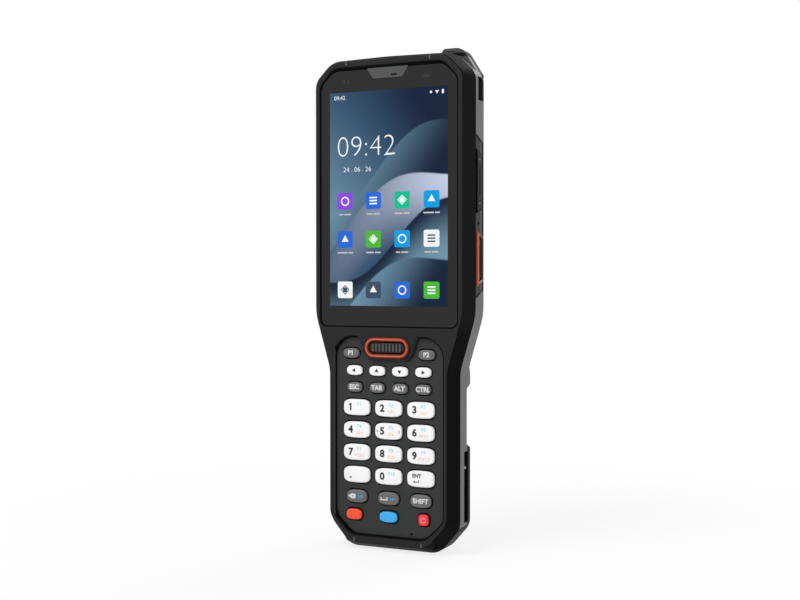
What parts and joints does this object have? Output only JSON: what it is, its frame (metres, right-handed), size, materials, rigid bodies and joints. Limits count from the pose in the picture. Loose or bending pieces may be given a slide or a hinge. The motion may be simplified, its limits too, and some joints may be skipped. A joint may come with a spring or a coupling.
{
  "type": "portable barcode data terminal",
  "caption": "Upright rugged handheld terminal with a display, moulded keypad, ringed scan keys, removable battery and end scanning window.",
  "frame": {"origin": "middle of the foot end, half way through the thickness", "axes": "+Z along the length to the scanning end, the display faces -Y, +X to the right as seen from the display side"},
  "size_m": [0.072, 0.028, 0.2034],
  "materials": {
    "front_plastic": "fine moulded texture",
    "rear_plastic": "fine moulded texture, slightly rubbery",
    "grey_plastic": "smooth satin",
    "display_glass": "polished cover glass",
    "display_stack": "flat display stack",
    "panel_plastic": "fine spark texture",
    "circuit_board": "green solder mask",
    "dome_steel": "bright",
    "orange_plastic": "satin moulded",
    "black_plastic": "smooth satin",
    "key_white_plastic": "smooth satin",
    "key_grey_plastic": "smooth satin",
    "key_orange_plastic": "smooth satin",
    "key_blue_plastic": "smooth satin",
    "key_red_plastic": "smooth satin",
    "scan_glass": "dark tinted, polished",
    "dark_metal": "anodised",
    "socket_steel": "plated",
    "contact_gold": "gold plated",
    "seal_rubber": "matt",
    "cover_rubber": "matt",
    "battery_plastic": "fine moulded texture"
  },
  "bodies": {
    "housing": {"front_housing": "front_plastic", "rear_housing": "rear_plastic", "top_rim_insert": "front_plastic", "foot_rim_insert": "front_plastic", "display_glass": "display_glass", "display_module": "display_stack", "earpiece_grille": "grey_plastic", "earpiece_receiver": "dark_metal", "keypad_panel": "panel_plastic", "keypad_board": "circuit_board", "key_domes": "dome_steel", "scan_key_ring": "orange_plastic", "side_scan_rings": "orange_plastic", "main_board": "circuit_board", "scan_engine": "dark_metal", "scan_window": "scan_glass", "camera_window": "scan_glass", "loudspeaker": "dark_metal", "usb_socket": "socket_steel", "charge_contacts": "contact_gold", "battery_terminals": "contact_gold", "housing_screws": "socket_steel", "housing_seal": "seal_rubber", "strap_pins": "socket_steel"},
    "battery_pack": {"battery_pack": "battery_plastic"},
    "battery_latch_right": {"battery_latch_right": "black_plastic"},
    "battery_latch_left": {"battery_latch_left": "black_plastic"},
    "usb_cover": {"usb_cover": "cover_rubber"},
    "scan_key": {"scan_key": "black_plastic"},
    "side_scan_key_right": {"side_scan_key_right": "black_plastic"},
    "side_scan_key_left": {"side_scan_key_left": "black_plastic"},
    "volume_key": {"volume_key": "black_plastic"},
    "key_p1": {"key_p1": "key_grey_plastic"},
    "key_p2": {"key_p2": "key_grey_plastic"},
    "key_left": {"key_left": "key_white_plastic"},
    "key_up": {"key_up": "key_white_plastic"},
    "key_down": {"key_down": "key_white_plastic"},
    "key_right": {"key_right": "key_white_plastic"},
    "key_esc": {"key_esc": "key_grey_plastic"},
    "key_tab": {"key_tab": "key_grey_plastic"},
    "key_alt": {"key_alt": "key_grey_plastic"},
    "key_ctrl": {"key_ctrl": "key_grey_plastic"},
    "key_1": {"key_1": "key_white_plastic"},
    "key_2": {"key_2": "key_white_plastic"},
    "key_3": {"key_3": "key_white_plastic"},
    "key_4": {"key_4": "key_white_plastic"},
    "key_5": {"key_5": "key_white_plastic"},
    "key_6": {"key_6": "key_white_plastic"},
    "key_7": {"key_7": "key_white_plastic"},
    "key_8": {"key_8": "key_white_plastic"},
    "key_9": {"key_9": "key_white_plastic"},
    "key_dot": {"key_dot": "key_white_plastic"},
    "key_0": {"key_0": "key_white_plastic"},
    "key_enter": {"key_enter": "key_white_plastic"},
    "key_backspace": {"key_backspace": "key_grey_plastic"},
    "key_space": {"key_space": "key_grey_plastic"},
    "key_shift": {"key_shift": "key_grey_plastic"},
    "key_orange": {"key_orange": "key_orange_plastic"},
    "key_blue": {"key_blue": "key_blue_plastic"},
    "key_power": {"key_power": "key_red_plastic"}
  },
  "joints": [
    {"name": "battery_lift", "type": "slide", "parent": "housing", "child": "battery_pack", "axis": [0, 1, 0], "range_m": [0, 0.02]},
    {"name": "latch_right_slide", "type": "slide", "parent": "housing", "child": "battery_latch_right", "axis": [-1, 0, 0], "range_m": [0, 0.0012], "stiffness_N_per_m": 600},
    {"name": "latch_left_slide", "type": "slide", "parent": "housing", "child": "battery_latch_left", "axis": [1, 0, 0], "range_m": [0, 0.0012], "stiffness_N_per_m": 600},
    {"name": "usb_cover_hinge", "type": "hinge", "parent": "housing", "child": "usb_cover", "pos_m": [-0.0073, -0.0019, 0.0009], "axis": [0, 1, 0], "range_deg": [0, 110]},
    {"name": "scan_key_press", "type": "slide", "parent": "housing", "child": "scan_key", "axis": [0, 1, 0], "range_m": [0, 0.0005], "stiffness_N_per_m": 900},
    {"name": "side_scan_right_press", "type": "slide", "parent": "housing", "child": "side_scan_key_right", "axis": [-1, 0, 0], "range_m": [0, 0.0005], "stiffness_N_per_m": 900},
    {"name": "side_scan_left_press", "type": "slide", "parent": "housing", "child": "side_scan_key_left", "axis": [1, 0, 0], "range_m": [0, 0.0005], "stiffness_N_per_m": 900},
    {"name": "volume_key_rock", "type": "hinge", "parent": "housing", "child": "volume_key", "pos_m": [0.03165, -0.0012, 0.1495], "axis": [0, 1, 0], "range_deg": [-1.6, 1.6], "stiffness_Nm_per_rad": 0.08},
    {"name": "key_p1_press", "type": "slide", "parent": "housing", "child": "key_p1", "axis": [0, 1, 0], "range_m": [0, 0.0005], "stiffness_N_per_m": 700},
    {"name": "key_p2_press", "type": "slide", "parent": "housing", "child": "key_p2", "axis": [0, 1, 0], "range_m": [0, 0.0005], "stiffness_N_per_m": 700},
    {"name": "key_left_press", "type": "slide", "parent": "housing", "child": "key_left", "axis": [0, 1, 0], "range_m": [0, 0.0005], "stiffness_N_per_m": 700},
    {"name": "key_up_press", "type": "slide", "parent": "housing", "child": "key_up", "axis": [0, 1, 0], "range_m": [0, 0.0005], "stiffness_N_per_m": 700},
    {"name": "key_down_press", "type": "slide", "parent": "housing", "child": "key_down", "axis": [0, 1, 0], "range_m": [0, 0.0005], "stiffness_N_per_m": 700},
    {"name": "key_right_press", "type": "slide", "parent": "housing", "child": "key_right", "axis": [0, 1, 0], "range_m": [0, 0.0005], "stiffness_N_per_m": 700},
    {"name": "key_esc_press", "type": "slide", "parent": "housing", "child": "key_esc", "axis": [0, 1, 0], "range_m": [0, 0.0005], "stiffness_N_per_m": 700},
    {"name": "key_tab_press", "type": "slide", "parent": "housing", "child": "key_tab", "axis": [0, 1, 0], "range_m": [0, 0.0005], "stiffness_N_per_m": 700},
    {"name": "key_alt_press", "type": "slide", "parent": "housing", "child": "key_alt", "axis": [0, 1, 0], "range_m": [0, 0.0005], "stiffness_N_per_m": 700},
    {"name": "key_ctrl_press", "type": "slide", "parent": "housing", "child": "key_ctrl", "axis": [0, 1, 0], "range_m": [0, 0.0005], "stiffness_N_per_m": 700},
    {"name": "key_1_press", "type": "slide", "parent": "housing", "child": "key_1", "axis": [0, 1, 0], "range_m": [0, 0.0005], "stiffness_N_per_m": 700},
    {"name": "key_2_press", "type": "slide", "parent": "housing", "child": "key_2", "axis": [0, 1, 0], "range_m": [0, 0.0005], "stiffness_N_per_m": 700},
    {"name": "key_3_press", "type": "slide", "parent": "housing", "child": "key_3", "axis": [0, 1, 0], "range_m": [0, 0.0005], "stiffness_N_per_m": 700},
    {"name": "key_4_press", "type": "slide", "parent": "housing", "child": "key_4", "axis": [0, 1, 0], "range_m": [0, 0.0005], "stiffness_N_per_m": 700},
    {"name": "key_5_press", "type": "slide", "parent": "housing", "child": "key_5", "axis": [0, 1, 0], "range_m": [0, 0.0005], "stiffness_N_per_m": 700},
    {"name": "key_6_press", "type": "slide", "parent": "housing", "child": "key_6", "axis": [0, 1, 0], "range_m": [0, 0.0005], "stiffness_N_per_m": 700},
    {"name": "key_7_press", "type": "slide", "parent": "housing", "child": "key_7", "axis": [0, 1, 0], "range_m": [0, 0.0005], "stiffness_N_per_m": 700},
    {"name": "key_8_press", "type": "slide", "parent": "housing", "child": "key_8", "axis": [0, 1, 0], "range_m": [0, 0.0005], "stiffness_N_per_m": 700},
    {"name": "key_9_press", "type": "slide", "parent": "housing", "child": "key_9", "axis": [0, 1, 0], "range_m": [0, 0.0005], "stiffness_N_per_m": 700},
    {"name": "key_dot_press", "type": "slide", "parent": "housing", "child": "key_dot", "axis": [0, 1, 0], "range_m": [0, 0.0005], "stiffness_N_per_m": 700},
    {"name": "key_0_press", "type": "slide", "parent": "housing", "child": "key_0", "axis": [0, 1, 0], "range_m": [0, 0.0005], "stiffness_N_per_m": 700},
    {"name": "key_enter_press", "type": "slide", "parent": "housing", "child": "key_enter", "axis": [0, 1, 0], "range_m": [0, 0.0005], "stiffness_N_per_m": 700},
    {"name": "key_backspace_press", "type": "slide", "parent": "housing", "child": "key_backspace", "axis": [0, 1, 0], "range_m": [0, 0.0005], "stiffness_N_per_m": 700},
    {"name": "key_space_press", "type": "slide", "parent": "housing", "child": "key_space", "axis": [0, 1, 0], "range_m": [0, 0.0005], "stiffness_N_per_m": 700},
    {"name": "key_shift_press", "type": "slide", "parent": "housing", "child": "key_shift", "axis": [0, 1, 0], "range_m": [0, 0.0005], "stiffness_N_per_m": 700},
    {"name": "key_orange_press", "type": "slide", "parent": "housing", "child": "key_orange", "axis": [0, 1, 0], "range_m": [0, 0.0005], "stiffness_N_per_m": 700},
    {"name": "key_blue_press", "type": "slide", "parent": "housing", "child": "key_blue", "axis": [0, 1, 0], "range_m": [0, 0.0005], "stiffness_N_per_m": 700},
    {"name": "key_power_press", "type": "slide", "parent": "housing", "child": "key_power", "axis": [0, 1, 0], "range_m": [0, 0.0005], "stiffness_N_per_m": 700}
  ]
}
